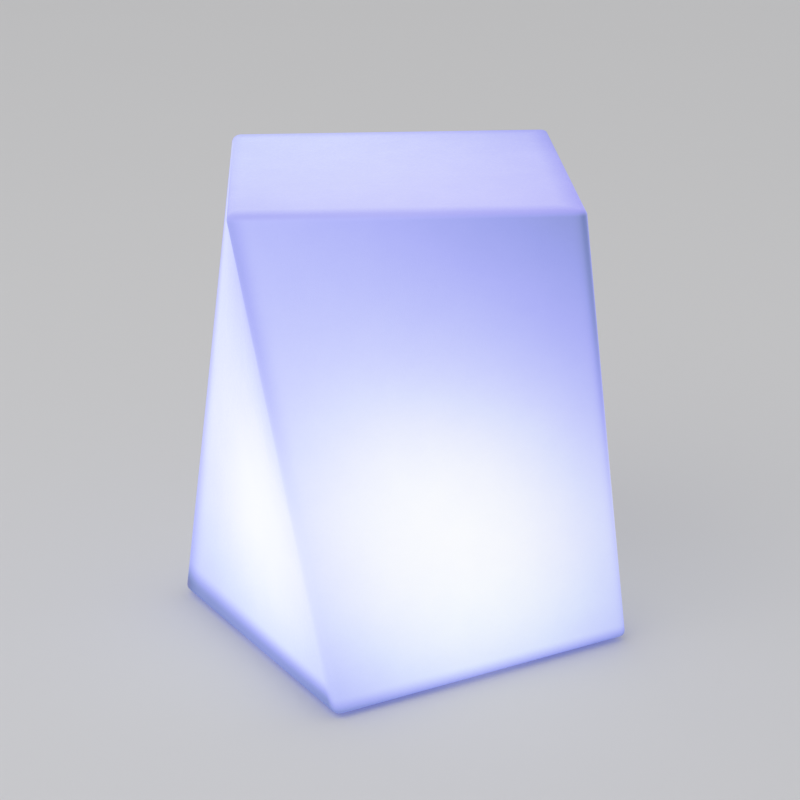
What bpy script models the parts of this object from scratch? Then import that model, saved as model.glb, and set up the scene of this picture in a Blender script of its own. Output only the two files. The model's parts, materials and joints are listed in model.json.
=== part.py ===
"""Light-up stool: a hollow twisted square shell with a light module screwed into its base.

Metres, +Z up. The origin is on the ground under the middle of the stool, and the seat's sides lie
along X and Y. The base square is turned against the seat, and straight upright edges join them.
"""

import math

import bmesh
import bpy
from mathutils import Matrix, Vector

# Shell
stool_height = 0.430
seat_side = 0.295
base_side = 0.305
base_turn_degrees = 27.5
shell_wall = 0.0045
upright_edge_radius = 0.008
rim_radius = 0.006
recess_depth = 0.030
recess_taper = 0.003
recess_lip_radius = 0.006
recess_corner_radius = 0.003
opening_radius = 0.072
ledge_width = 0.032

# Feet, in pockets of the base
foot_standoff = 0.004
foot_corner_inset = 0.0512
foot_radius = 0.012
foot_taper = 0.0012
foot_edge = 0.0008
foot_pocket_depth = 0.003
foot_boss_wall = 0.004
foot_boss_height = 0.010
foot_head_depth = 0.0015
foot_screw_radius = 0.0018
foot_screw_length = 0.011
foot_screw_head_radius = 0.0042
foot_screw_head_height = 0.0022

# Module fixing: inserts, gasket and screws
insert_radius = 0.0038
insert_length = 0.010
insert_groove = 0.0006
boss_wall = 0.003
gasket_thickness = 0.002
gasket_margin = 0.003
flange_clearance = 0.006
tray_screw_radius = 0.002
tray_screw_length = 0.012
tray_screw_head_radius = 0.0038
tray_screw_head_height = 0.0024

# Tray
tray_clearance = 0.005
flange_thickness = 0.003
tray_wall = 0.0025
tray_edge = 0.001
post_radius = 0.003
post_margin = 0.0015
column_radius = 0.0042
column_inset = 0.0032
column_gap = 0.0025

# Battery
cell_radius = 0.0092
cell_length = 0.065
cell_edge = 0.0008
cell_pole_radius = 0.003
cell_pole_height = 0.001
holder_wall = 0.0016

# Control board
board_thickness = 0.0016
board_gap = 0.004
board_length = 0.050
board_edge_margin = 0.0045
chip_side = 0.007
chip_height = 0.0012
capacitor_radius = 0.004
capacitor_height = 0.010
capacitor_edge = 0.0005
receiver_width = 0.006
receiver_depth = 0.0045
receiver_height = 0.007
connector_width = 0.010
connector_depth = 0.006
connector_height = 0.006
board_screw_radius = 0.0012
board_screw_length = 0.006
board_screw_head_radius = 0.0023
board_screw_head_height = 0.0014

# Lights
component_room = 0.016
led_board_clearance = 0.001
led_side = 0.005
led_height = 0.0015
led_edge = 0.0003
led_ring_inset = 0.0215
ring_led_count = 8

# Diffuser dome
dome_wall = 0.002
dome_height = 0.030
dome_skirt = 0.008
dome_seat_width = 0.0015

# Charging jack and its cover
jack_y = -0.018
jack_barrel_radius = 0.0055
jack_body_radius = 0.0075
jack_body_height = 0.011
jack_bore_radius = 0.0032
jack_bore_depth = 0.0095
jack_pin_radius = 0.001
jack_pin_setback = 0.001
cap_radius = 0.0085
cap_thickness = 0.0020
cap_edge = 0.0005
cap_tab_reach = 0.0025
cap_tab_width = 0.006
plug_base_radius = 0.0027
plug_tip_radius = 0.0023
plug_hollow_radius = 0.0018
plug_length = 0.003
strap_width = 0.005
strap_thickness = 0.0012
strap_reach = 0.0115
anchor_head_radius = 0.0034
anchor_reach = 0.0048
anchor_stem_radius = 0.0018
anchor_barb_radius = 0.0026
anchor_barb_height = 0.0016

# Push button
button_y = 0.018
button_radius = 0.0075
button_projection = 0.0015
button_edge = 0.0006
button_rim_width = 0.0012
button_rim_height = 0.0015
button_travel = 0.0015
button_stem_radius = 0.0022
bezel_flange_width = 0.0028
bezel_flange_thickness = 0.002
bezel_wall = 0.0015
bezel_shoulder = 0.0012
bezel_sleeve_height = 0.0085
switch_side = 0.018
switch_height = 0.007
spring_wire_radius = 0.00035
spring_turns = 5

# Leads
lead_radius = 0.0009
lead_bend = 0.006

# Fits
seat_gap = 0.0003
overrun = 0.002
overlap = 0.001

# Counts and shares
corner_steps = 4
side_steps = 6
wall_steps = 8
rim_steps = 3
large_segments = 48
medium_segments = 24
small_segments = 16
screw_segments = 10
spring_points_per_turn = 8
lead_points_per_span = 4
drive_radius_share = 0.5
drive_depth_share = 0.6
head_dome_share = 0.3
box_edge_share = 0.06
controls_share = 0.44

# Heights, from the ground up
shell_base_z = foot_standoff
ledge_z = shell_base_z + recess_depth
flange_top_z = ledge_z - gasket_thickness - 2 * seat_gap
tray_z = flange_top_z - flange_thickness
holder_z = flange_top_z + seat_gap
cell_z = holder_z + holder_wall + seat_gap + cell_radius
control_board_z = cell_z + cell_radius + board_gap
control_top_z = control_board_z + board_thickness
led_board_z = control_top_z + component_room
led_top_z = led_board_z + board_thickness
tray_rim_z = led_top_z

# Radii, from the opening outwards and inwards, and of the circle of feet
recess_radius = opening_radius + ledge_width
flange_radius = recess_radius - recess_taper - flange_clearance
bolt_circle_radius = (opening_radius + flange_radius) / 2
tray_radius = opening_radius - tray_clearance
tray_inner_radius = tray_radius - tray_wall
led_board_radius = tray_inner_radius - led_board_clearance
led_ring_radius = led_board_radius - led_ring_inset
column_place_radius = tray_inner_radius - column_radius - column_inset
foot_place_radius = base_side / math.sqrt(2) - foot_corner_inset

# Sizes and places in the module
holder_width = 4 * cell_radius + 4 * seat_gap + 3 * holder_wall
cell_reach = cell_radius + seat_gap + holder_wall / 2
holder_length = cell_length + 2 * seat_gap + 2 * holder_wall
holder_height = holder_wall + seat_gap + cell_radius
post_reach_x = holder_width / 2 + post_margin + post_radius
post_reach_y = board_length / 2 - board_edge_margin
board_width = 2 * (post_reach_x + board_edge_margin)
board_left_x = column_radius + column_gap - column_place_radius
battery_x = board_left_x + board_width / 2
board_right_x = battery_x + board_width / 2
posts_right_x = battery_x + post_reach_x + post_radius
controls_x = posts_right_x + (tray_inner_radius - posts_right_x) * controls_share
hinge_y = jack_y - strap_reach
anchor_y = hinge_y - anchor_reach
hinge_z = tray_z - seat_gap - strap_thickness
button_rim_radius = button_radius + button_rim_width
button_sleeve_radius = button_rim_radius + seat_gap + bezel_wall
base_turn = math.radians(base_turn_degrees)

# Colours: linear red, green, blue; then roughness and metallic
finishes = {
    "milky_plastic": ((0.72, 0.75, 0.95), 0.45, 0.0),
    "white_plastic": ((0.80, 0.80, 0.80), 0.40, 0.0),
    "frosted_plastic": ((0.88, 0.90, 0.95), 0.55, 0.0),
    "black_plastic": ((0.02, 0.02, 0.02), 0.45, 0.0),
    "black_rubber": ((0.03, 0.03, 0.03), 0.85, 0.0),
    "grey_silicone": ((0.35, 0.36, 0.38), 0.70, 0.0),
    "brass": ((0.60, 0.42, 0.16), 0.35, 1.0),
    "steel": ((0.55, 0.56, 0.58), 0.30, 1.0),
    "aluminium": ((0.75, 0.76, 0.78), 0.35, 1.0),
    "circuit_board": ((0.02, 0.16, 0.07), 0.50, 0.0),
    "blue_sleeve": ((0.03, 0.10, 0.45), 0.40, 0.0),
    "light_chip": ((0.90, 0.88, 0.70), 0.30, 0.0),
    "red_lead": ((0.45, 0.02, 0.02), 0.50, 0.0),
}


def clear_scene():
    for thing in list(bpy.data.objects):
        bpy.data.objects.remove(thing, do_unlink=True)


def new_collection(name):
    collection = bpy.data.collections.new(name)
    bpy.context.scene.collection.children.link(collection)
    return collection


clear_scene()
stool = new_collection("light_up_stool")
cutters = new_collection("cutters")


def material(name, finish):
    """A material of its own for one piece."""
    colour, roughness, metallic = finishes[finish]
    made = bpy.data.materials.new(name)
    made.use_nodes = True
    shader = made.node_tree.nodes["Principled BSDF"]
    shader.inputs["Base Color"].default_value = (*colour, 1)
    shader.inputs["Roughness"].default_value = roughness
    shader.inputs["Metallic"].default_value = metallic
    made.diffuse_color = (*colour, 1)
    return made


def as_mesh(thing):
    """The evaluated shape of an object, as a mesh with its modifiers applied."""
    bpy.context.view_layer.update()
    graph = bpy.context.evaluated_depsgraph_get()
    return bpy.data.meshes.new_from_object(thing.evaluated_get(graph))


def shade(mesh, crease_degrees=35):
    """Smooth shading with sharp edges left where the surface turns hard."""
    mesh.shade_smooth()
    mesh.set_sharp_from_angle(angle=math.radians(crease_degrees))


def place(name, mesh, finish, location=(0, 0, 0), turn=(0, 0, 0), parent=None):
    """A named piece of the stool."""
    mesh.materials.clear()
    mesh.materials.append(material(name, finish))
    piece = bpy.data.objects.new(name, mesh)
    piece.location = location
    piece.rotation_euler = turn
    piece.parent = parent
    stool.objects.link(piece)
    return piece


def helper(mesh, location=(0, 0, 0)):
    """A hidden object that cuts, joins or is the start of a shape."""
    thing = bpy.data.objects.new("helper", mesh)
    thing.location = location
    thing.hide_render = True
    thing.display_type = "WIRE"
    cutters.objects.link(thing)
    return thing


def finished(thing):
    """The mesh of a helper with its modifiers applied, after which the helper goes."""
    mesh = as_mesh(thing)
    shade(mesh)
    bpy.data.objects.remove(thing, do_unlink=True)
    return mesh


def combine(thing, tools, operation):
    """Cut the tools out of the helper, or join them to it, one after another."""
    for tool in tools:
        boolean = thing.modifiers.new(operation.lower(), "BOOLEAN")
        boolean.operation = operation
        boolean.solver = "EXACT"
        boolean.object = tool
    mesh = as_mesh(thing)
    thing.modifiers.clear()
    thing.data = mesh
    for tool in tools:
        bpy.data.objects.remove(tool, do_unlink=True)


def mesh_from(build):
    mesh = bpy.data.meshes.new("shape")
    working = bmesh.new()
    build(working)
    working.to_mesh(mesh)
    working.free()
    return mesh


def box_mesh(size, edge=0):
    """A box about its own centre, with its edges rounded off where edge is set."""

    def build(working):
        made = bmesh.ops.create_cube(working, size=1)
        bmesh.ops.scale(working, vec=Vector(size), verts=made["verts"])

    mesh = mesh_from(build)
    if edge:
        thing = helper(mesh)
        bevel = thing.modifiers.new("edge", "BEVEL")
        bevel.width = edge
        bevel.segments = 1
        mesh = finished(thing)
    return mesh


def cylinder_mesh(radius, height, segments=small_segments):
    """A cylinder that stands on its own origin."""

    def build(working):
        bmesh.ops.create_cone(
            working,
            cap_ends=True,
            segments=segments,
            radius1=radius,
            radius2=radius,
            depth=height,
            matrix=Matrix.Translation((0, 0, height / 2)),
        )

    return mesh_from(build)


def rod(radius, low, high, x=0, y=0, segments=small_segments):
    """A hidden upright cylinder between two heights."""
    return helper(cylinder_mesh(radius, high - low, segments), (x, y, low))


def turned_mesh(profile, segments, ring=False):
    """A turned shape. The profile runs down the outer side; a ring's profile closes on itself."""
    mesh = bpy.data.meshes.new("profile")
    ends = [(i, i + 1) for i in range(len(profile) - 1)]
    if ring:
        ends.append((len(profile) - 1, 0))
    mesh.from_pydata([(radius, 0, height) for radius, height in profile], ends, [])
    thing = helper(mesh)
    screw = thing.modifiers.new("turn", "SCREW")
    screw.steps = segments
    screw.render_steps = segments
    screw.use_merge_vertices = True
    screw.merge_threshold = seat_gap / large_segments
    return finished(thing)


def polar(radius, angle):
    return radius * math.cos(angle), radius * math.sin(angle)


def spread(count, start_degrees=0):
    """Angles of a number of places spaced evenly round a circle."""
    start = math.radians(start_degrees)
    return [start + math.tau * i / count for i in range(count)]


def screw_mesh(radius, length, head_radius, head_height):
    """A pan-head screw with its head's seat at the origin and its shank pointing down."""
    tip = radius / 2
    profile = [
        (0, head_height),
        (head_radius * (1 - head_dome_share), head_height),
        (head_radius, head_height * (1 - head_dome_share)),
        (head_radius, 0),
        (radius, 0),
        (radius, tip - length),
        (tip, -length),
        (0, -length),
    ]
    thing = helper(turned_mesh(profile, screw_segments))
    depth = head_height * drive_depth_share
    socket = cylinder_mesh(head_radius * drive_radius_share, depth + overrun, 6)
    combine(thing, [helper(socket, (0, 0, head_height - depth))], "DIFFERENCE")
    return finished(thing)


# Shell


def square_point(side, radius, index, step):
    """A point of a rounded square: first the steps of corner number index, then those of a side."""
    quarter = math.tau / 4
    centre = side / 2 - radius
    if step <= corner_steps:
        angle = quarter * (index + step / corner_steps)
        corner = Matrix.Rotation(quarter * index, 2) @ Vector((centre, centre))
        return corner + radius * Vector((math.cos(angle), math.sin(angle)))
    along = (step - corner_steps) / side_steps
    turn = Matrix.Rotation(quarter * (index + 1), 2)
    return turn @ Vector((side / 2, 2 * centre * along - centre))


def square_ring(side, radius):
    steps = range(corner_steps + side_steps)
    return [square_point(side, radius, index, step) for index in range(4) for step in steps]


def shell_section(height, inset=0):
    """The level outline of the shell at a height: seat and base squares joined by straight lines."""
    share = (stool_height - height) / (stool_height - shell_base_z)
    radius = upright_edge_radius - inset
    seat = square_ring(seat_side - 2 * inset, radius)
    turn = Matrix.Rotation(base_turn, 2)
    base = [turn @ point for point in square_ring(base_side - 2 * inset, radius)]
    mixed = [a.lerp(b, share) for a, b in zip(seat, base)]
    return [(point.x, point.y, height) for point in mixed]


def circle_section(radius, height):
    """A level circle with as many points as the square outline, its first beside the same corner."""
    count = 4 * (corner_steps + side_steps)
    lead = math.tau / 4 * corner_steps / (corner_steps + side_steps) / 2
    start = base_turn + math.tau / 8 - lead
    angles = [start + math.tau * i / count for i in range(count)]
    return [(*polar(radius, angle), height) for angle in angles]


def arc(radius, start_degrees, end_degrees, steps):
    """Offsets along an arc, as pairs of sideways and upward."""
    start = math.radians(start_degrees)
    sweep = math.radians(end_degrees) - start
    return [polar(radius, start + sweep * i / steps) for i in range(steps + 1)]


def shell_rings():
    """The outer surface from the seat's edge, down the walls, under the base and up the recess."""
    rings = []
    for out, up in arc(rim_radius, 90, 0, rim_steps):
        rings.append(shell_section(stool_height - rim_radius + up, rim_radius - out))
    top = stool_height - rim_radius
    bottom = shell_base_z + rim_radius
    for step in range(1, wall_steps):
        rings.append(shell_section(top + (bottom - top) * step / wall_steps))
    for out, up in arc(rim_radius, 0, -90, rim_steps):
        rings.append(shell_section(bottom + up, rim_radius - out))
    lip_centre = shell_base_z + recess_lip_radius
    for out, up in arc(recess_lip_radius, -90, -180, rim_steps):
        rings.append(circle_section(recess_radius + recess_lip_radius + out, lip_centre + up))
    inner_radius = recess_radius - recess_taper
    corner_centre = inner_radius - recess_corner_radius
    for out, up in arc(recess_corner_radius, 0, 90, rim_steps):
        rings.append(circle_section(corner_centre + out, ledge_z - recess_corner_radius + up))
    rings.append(circle_section(opening_radius, ledge_z))
    return rings


def shell_mesh():
    """The moulded skin, with the bosses for the inserts and the feet, and their holes."""

    def build(working):
        rings = [[working.verts.new(point) for point in ring] for ring in shell_rings()]
        working.faces.new(rings[0])
        for upper, lower in zip(rings, rings[1:]):
            for i, corner in enumerate(upper):
                after = (i + 1) % len(upper)
                working.faces.new((corner, lower[i], lower[after], upper[after]))

    thing = helper(mesh_from(build))
    solidify = thing.modifiers.new("wall", "SOLIDIFY")
    solidify.thickness = shell_wall
    solidify.offset = -1
    solidify.use_even_offset = True
    mesh = as_mesh(thing)
    thing.modifiers.clear()
    thing.data = mesh

    bosses = []
    holes = []
    hole_depth = insert_length + seat_gap
    for x, y in insert_places():
        boss_top = ledge_z + hole_depth + boss_wall
        boss_radius = insert_radius + seat_gap + boss_wall
        bosses.append(rod(boss_radius, ledge_z + overlap, boss_top, x, y))
        holes.append(rod(insert_radius + seat_gap, ledge_z - overrun, ledge_z + hole_depth, x, y))
    pocket_radius = foot_radius + seat_gap
    pocket_z = shell_base_z + foot_pocket_depth
    for x, y in foot_places():
        boss_top = shell_base_z + shell_wall + foot_boss_height
        boss_radius = pocket_radius + foot_boss_wall
        bosses.append(rod(boss_radius, shell_base_z + overlap, boss_top, x, y, medium_segments))
        holes.append(rod(pocket_radius, shell_base_z - overrun, pocket_z, x, y, medium_segments))
        shank_top = foot_screw_seat_z + foot_screw_length + seat_gap
        shank = foot_screw_radius + seat_gap
        holes.append(rod(shank, pocket_z - overrun, shank_top, x, y, screw_segments))
    combine(thing, bosses, "UNION")
    combine(thing, holes, "DIFFERENCE")
    return finished(thing)


def insert_places():
    return [polar(bolt_circle_radius, angle) for angle in spread(4, base_turn_degrees)]


def foot_places():
    return [polar(foot_place_radius, angle) for angle in spread(4, base_turn_degrees + 45)]


foot_height = foot_standoff + foot_pocket_depth - seat_gap
foot_screw_seat_z = foot_head_depth + foot_screw_head_height + seat_gap

place("seat_shell", shell_mesh(), "milky_plastic")

# Feet and their screws


def foot_mesh():
    """A rubber pad that narrows towards the ground, with a stepped hole for its screw."""
    head_hole = foot_screw_head_radius + seat_gap
    profile = [
        (foot_radius, foot_height),
        (foot_radius - foot_taper, foot_edge),
        (foot_radius - foot_taper - foot_edge, 0),
        (head_hole, 0),
        (head_hole, foot_screw_seat_z),
        (foot_screw_radius + seat_gap, foot_screw_seat_z),
        (foot_screw_radius + seat_gap, foot_height),
    ]
    return turned_mesh(profile, medium_segments, ring=True)


foot_shape = foot_mesh()
foot_screw_shape = screw_mesh(
    foot_screw_radius, foot_screw_length, foot_screw_head_radius, foot_screw_head_height
)
upside_down = (math.pi, 0, 0)
for number, (x, y) in enumerate(foot_places(), 1):
    place(f"rubber_foot_{number}", foot_shape.copy(), "black_rubber", (x, y, 0))
    head_seat = (x, y, foot_screw_seat_z - seat_gap)
    place(f"foot_screw_{number}", foot_screw_shape.copy(), "steel", head_seat, upside_down)

# Inserts, gasket and tray screws


def insert_mesh():
    """A threaded insert as a sleeve with a groove round its middle."""
    bore = tray_screw_radius + seat_gap
    thirds = [insert_length * i / 3 for i in range(4)]
    waist = insert_radius - insert_groove
    profile = [
        (insert_radius, thirds[3]),
        (insert_radius, thirds[2]),
        (waist, thirds[2] - insert_groove),
        (waist, thirds[1] + insert_groove),
        (insert_radius, thirds[1]),
        (insert_radius, 0),
        (bore, 0),
        (bore, thirds[3]),
    ]
    return turned_mesh(profile, small_segments, ring=True)


def gasket_mesh():
    """A flat ring with a hole for each tray screw."""
    outer = flange_radius - gasket_margin
    inner = opening_radius + gasket_margin
    profile = [(outer, gasket_thickness), (outer, 0), (inner, 0), (inner, gasket_thickness)]
    thing = helper(turned_mesh(profile, large_segments, ring=True))
    hole = tray_screw_radius + seat_gap
    top = gasket_thickness + overrun
    holes = [rod(hole, -overrun, top, x, y, screw_segments) for x, y in insert_places()]
    combine(thing, holes, "DIFFERENCE")
    return finished(thing)


insert_shape = insert_mesh()
tray_screw_shape = screw_mesh(
    tray_screw_radius, tray_screw_length, tray_screw_head_radius, tray_screw_head_height
)
for number, (x, y) in enumerate(insert_places(), 1):
    place(f"shell_insert_{number}", insert_shape.copy(), "brass", (x, y, ledge_z))
    head_seat = (x, y, tray_z - seat_gap)
    place(f"tray_screw_{number}", tray_screw_shape.copy(), "steel", head_seat, upside_down)
place("module_gasket", gasket_mesh(), "grey_silicone", (0, 0, flange_top_z + seat_gap))

# Tray


def post_places():
    """The four corners of the control board, round the battery holder."""
    signs = [(-1, -1), (1, -1), (1, 1), (-1, 1)]
    return [(battery_x + sx * post_reach_x, sy * post_reach_y) for sx, sy in signs]


def column_places():
    return [polar(column_place_radius, angle) for angle in spread(3, 60)]


def tray_mesh():
    """The module's housing: a cup with a screw flange, posts for both boards and bores below."""
    profile = [
        (0, flange_top_z),
        (tray_inner_radius, flange_top_z),
        (tray_inner_radius, tray_rim_z),
        (tray_radius, tray_rim_z),
        (tray_radius, flange_top_z),
        (flange_radius, flange_top_z),
        (flange_radius, tray_z + tray_edge),
        (flange_radius - tray_edge, tray_z),
        (0, tray_z),
    ]
    thing = helper(turned_mesh(profile, large_segments))
    low = flange_top_z - overlap
    posts = [rod(post_radius, low, control_board_z - seat_gap, x, y) for x, y in post_places()]
    for x, y in column_places():
        posts.append(rod(column_radius, low, led_board_z - seat_gap, x, y))
    combine(thing, posts, "UNION")

    pilots = []
    pilot = board_screw_radius + seat_gap
    pilot_depth = board_screw_length + seat_gap
    for x, y in post_places():
        low = control_top_z - pilot_depth
        pilots.append(rod(pilot, low, control_board_z + overrun, x, y, screw_segments))
    for x, y in column_places():
        low = led_top_z - pilot_depth
        pilots.append(rod(pilot, low, led_board_z + overrun, x, y, screw_segments))
    low = tray_z - overrun
    high = flange_top_z + overrun
    hole = tray_screw_radius + seat_gap
    pilots += [rod(hole, low, high, x, y, screw_segments) for x, y in insert_places()]
    bores = [
        (button_sleeve_radius + seat_gap, controls_x, button_y, medium_segments),
        (jack_barrel_radius + seat_gap, controls_x, jack_y, medium_segments),
        (anchor_stem_radius + seat_gap, controls_x, anchor_y, screw_segments),
    ]
    pilots += [rod(radius, low, high, x, y, steps) for radius, x, y, steps in bores]
    combine(thing, pilots, "DIFFERENCE")
    return finished(thing)


place("module_tray", tray_mesh(), "white_plastic")

# Battery


def holder_mesh():
    """An open box with room for two cells side by side, and a wall between them."""
    thing = helper(box_mesh((holder_width, holder_length, holder_height)))
    thing.location.z = holder_height / 2
    room = (2 * cell_radius + 2 * seat_gap, cell_length + 2 * seat_gap, holder_height)
    middle = holder_wall + holder_height / 2
    cuts = [helper(box_mesh(room), (side * cell_reach, 0, middle)) for side in (-1, 1)]
    combine(thing, cuts, "DIFFERENCE")
    thing.data.transform(Matrix.Translation(thing.location))
    thing.location.z = 0
    return finished(thing)


def cell_mesh():
    """One cell along its own Z, with the raised pole at its top."""
    half = cell_length / 2
    face = half - cell_pole_height
    profile = [
        (0, half),
        (cell_pole_radius, half),
        (cell_pole_radius, face),
        (cell_radius - cell_edge, face),
        (cell_radius, face - cell_edge),
        (cell_radius, cell_edge - half),
        (cell_radius - cell_edge, -half),
        (0, -half),
    ]
    return turned_mesh(profile, medium_segments)


place("battery_holder", holder_mesh(), "black_plastic", (battery_x, 0, holder_z))
cell_shape = cell_mesh()
for number, side in enumerate((-1, 1), 1):
    lying = (side * math.pi / 2, 0, 0)
    centre = (battery_x + side * cell_reach, 0, cell_z)
    place(f"battery_cell_{number}", cell_shape.copy(), "blue_sleeve", centre, lying)

# Control board


def drilled(mesh, holes, low, high):
    """A plate with upright holes through it, given as radius, x and y."""
    thing = helper(mesh)
    tools = [rod(radius, low, high, x, y, screw_segments) for radius, x, y in holes]
    combine(thing, tools, "DIFFERENCE")
    return finished(thing)


def control_board_mesh():
    mesh = box_mesh((board_width, board_length, board_thickness))
    mesh.transform(Matrix.Translation((battery_x, 0, board_thickness / 2)))
    hole = board_screw_radius + seat_gap
    holes = [(hole, x, y) for x, y in post_places()]
    return drilled(mesh, holes, -overrun, board_thickness + overrun)


def place_box(name, size, finish, x, y, low):
    """A box-shaped component that stands at a height."""
    mesh = box_mesh(size, min(size) * box_edge_share)
    shade(mesh)
    return place(name, mesh, finish, (x, y, low + size[2] / 2))


component_z = control_top_z + seat_gap
place("control_board", control_board_mesh(), "circuit_board", (0, 0, control_board_z))
place_box(
    "controller_chip", (chip_side, chip_side, chip_height), "black_plastic",
    battery_x, 0, component_z,
)
connector_y = board_length / 2 - connector_depth / 2 - seat_gap
place_box(
    "light_connector", (connector_width, connector_depth, connector_height), "white_plastic",
    battery_x, connector_y, component_z,
)
power_connector_x = board_right_x - connector_depth / 2 - seat_gap
place_box(
    "power_connector", (connector_depth, connector_width, connector_height), "white_plastic",
    power_connector_x, 0, component_z,
)
receiver_y = -connector_y
place_box(
    "remote_receiver", (receiver_width, receiver_depth, receiver_height), "black_plastic",
    battery_x, receiver_y, component_z,
)
capacitor_profile = [
    (0, capacitor_height),
    (capacitor_radius - capacitor_edge, capacitor_height),
    (capacitor_radius, capacitor_height - capacitor_edge),
    (capacitor_radius, 0),
    (0, 0),
]
capacitor_x = battery_x - board_width / 4
place(
    "smoothing_capacitor", turned_mesh(capacitor_profile, small_segments), "black_plastic",
    (capacitor_x, 0, component_z),
)
board_screw_shape = screw_mesh(
    board_screw_radius, board_screw_length, board_screw_head_radius, board_screw_head_height
)
for number, (x, y) in enumerate(post_places(), 1):
    place(f"board_screw_{number}", board_screw_shape.copy(), "steel", (x, y, component_z))

# Lights


def led_board_mesh():
    mesh = cylinder_mesh(led_board_radius, board_thickness, large_segments)
    hole = board_screw_radius + seat_gap
    holes = [(hole, x, y) for x, y in column_places()]
    return drilled(mesh, holes, -overrun, board_thickness + overrun)


def led_places():
    ring = [polar(led_ring_radius, angle) for angle in spread(ring_led_count)]
    return [(0, 0), *ring]


light_z = led_top_z + seat_gap
place("led_board", led_board_mesh(), "aluminium", (0, 0, led_board_z))
led_shape = box_mesh((led_side, led_side, led_height), led_edge)
led_shape.transform(Matrix.Translation((0, 0, led_height / 2)))
for number, (x, y) in enumerate(led_places(), 1):
    facing = (0, 0, math.atan2(y, x))
    place(f"led_{number}", led_shape.copy(), "light_chip", (x, y, light_z), facing)
for number, (x, y) in enumerate(column_places(), 1):
    place(f"led_board_screw_{number}", board_screw_shape.copy(), "steel", (x, y, light_z))

# Diffuser dome


def dome_mesh():
    """A low dome that stands on the tray's rim, with a skirt that goes over the rim."""
    skirt_inner = tray_radius + seat_gap
    outer = skirt_inner + dome_wall
    inner = tray_radius - dome_seat_width
    steps = large_segments // 8
    angles = [math.tau / 4 * (1 - i / steps) for i in range(steps + 1)]
    profile = [(outer * math.cos(a), dome_height * math.sin(a)) for a in angles]
    profile += [(outer, -dome_skirt), (skirt_inner, -dome_skirt), (skirt_inner, 0)]
    inside_height = dome_height - dome_wall
    profile += [(inner * math.cos(a), inside_height * math.sin(a)) for a in reversed(angles)]
    profile[0] = (0, dome_height)
    profile[-1] = (0, inside_height)
    return turned_mesh(profile, large_segments)


place("diffuser_dome", dome_mesh(), "frosted_plastic", (0, 0, tray_rim_z + seat_gap))

# Charging jack and its cover


def jack_mesh():
    """A barrel socket with its mouth downward, measured from the tray's underside."""
    seat = flange_thickness + seat_gap
    rear = seat + jack_body_height
    profile = [
        (0, rear),
        (jack_body_radius, rear),
        (jack_body_radius, seat),
        (jack_barrel_radius, seat),
        (jack_barrel_radius, 0),
        (jack_bore_radius, 0),
        (jack_bore_radius, jack_bore_depth),
        (jack_pin_radius, jack_bore_depth),
        (jack_pin_radius, jack_pin_setback),
        (0, jack_pin_setback),
    ]
    return turned_mesh(profile, medium_segments)


def cap_mesh():
    """The cover with its plug, finger tab and strap, measured from the hinge line of the strap."""
    under_tray = strap_thickness
    profile = [
        (plug_tip_radius, under_tray + plug_length),
        (plug_base_radius, under_tray),
        (cap_radius, under_tray),
        (cap_radius, under_tray - cap_thickness + cap_edge),
        (cap_radius - cap_edge, under_tray - cap_thickness),
        (0, under_tray - cap_thickness),
    ]
    inside = [(0, under_tray), (plug_hollow_radius, under_tray)]
    hollow_top = (plug_hollow_radius, under_tray + plug_length)
    thing = helper(turned_mesh([*inside, hollow_top, *profile], medium_segments))
    thing.location.x = strap_reach
    strap_length = strap_reach - cap_radius + 2 * overlap - seat_gap
    strap = helper(box_mesh((strap_length, strap_width, strap_thickness)))
    strap.location = (seat_gap + strap_length / 2, 0, strap_thickness / 2)
    tab_length = cap_tab_reach + 2 * overlap
    tab_x = strap_reach + cap_radius + cap_tab_reach - tab_length / 2
    tab = helper(box_mesh((tab_length, cap_tab_width, strap_thickness)))
    tab.location = (tab_x, 0, strap_thickness / 2)
    combine(thing, [strap, tab], "UNION")
    thing.data.transform(Matrix.Translation(thing.location))
    thing.location.x = 0
    return finished(thing)


def anchor_mesh():
    """The fixed end of the strap, with a barbed stem, measured from the stem's axis."""
    top = strap_thickness
    barb_seat = top + 2 * seat_gap + flange_thickness
    profile = [
        (0, barb_seat + anchor_barb_height),
        (anchor_stem_radius, barb_seat + anchor_barb_height),
        (anchor_barb_radius, barb_seat),
        (anchor_stem_radius, barb_seat),
        (anchor_stem_radius, top),
        (anchor_head_radius, top),
        (anchor_head_radius, 0),
        (0, 0),
    ]
    thing = helper(turned_mesh(profile, small_segments))
    length = anchor_reach - seat_gap
    strap = helper(box_mesh((length, strap_width, strap_thickness)))
    strap.location = (length / 2, 0, strap_thickness / 2)
    combine(thing, [strap], "UNION")
    return finished(thing)


quarter_turn = (0, 0, math.tau / 4)
place("charging_jack", jack_mesh(), "black_plastic", (controls_x, jack_y, tray_z))
cap_place = (controls_x, hinge_y, hinge_z)
place("port_cap", cap_mesh(), "grey_silicone", cap_place, quarter_turn)
anchor_place = (controls_x, anchor_y, hinge_z)
place("port_cap_anchor", anchor_mesh(), "grey_silicone", anchor_place, quarter_turn)

# Push button: heights here are measured from the tray's underside

bezel_bottom = -seat_gap - bezel_flange_thickness
shoulder_z = bezel_bottom + bezel_shoulder
sleeve_top = flange_thickness + bezel_sleeve_height
rim_bottom = shoulder_z + seat_gap
rim_top = rim_bottom + button_rim_height
switch_z = sleeve_top + seat_gap


def bezel_mesh():
    """A bushing with a flange below the tray and a lip that keeps the button in."""
    mouth = button_radius + seat_gap
    inside = button_rim_radius + seat_gap
    flange = button_sleeve_radius + bezel_flange_width
    profile = [
        (button_sleeve_radius, sleeve_top),
        (button_sleeve_radius, -seat_gap),
        (flange, -seat_gap),
        (flange, bezel_bottom + button_edge),
        (flange - button_edge, bezel_bottom),
        (mouth, bezel_bottom),
        (mouth, shoulder_z),
        (inside, shoulder_z),
        (inside, sleeve_top),
    ]
    return turned_mesh(profile, medium_segments, ring=True)


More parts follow.
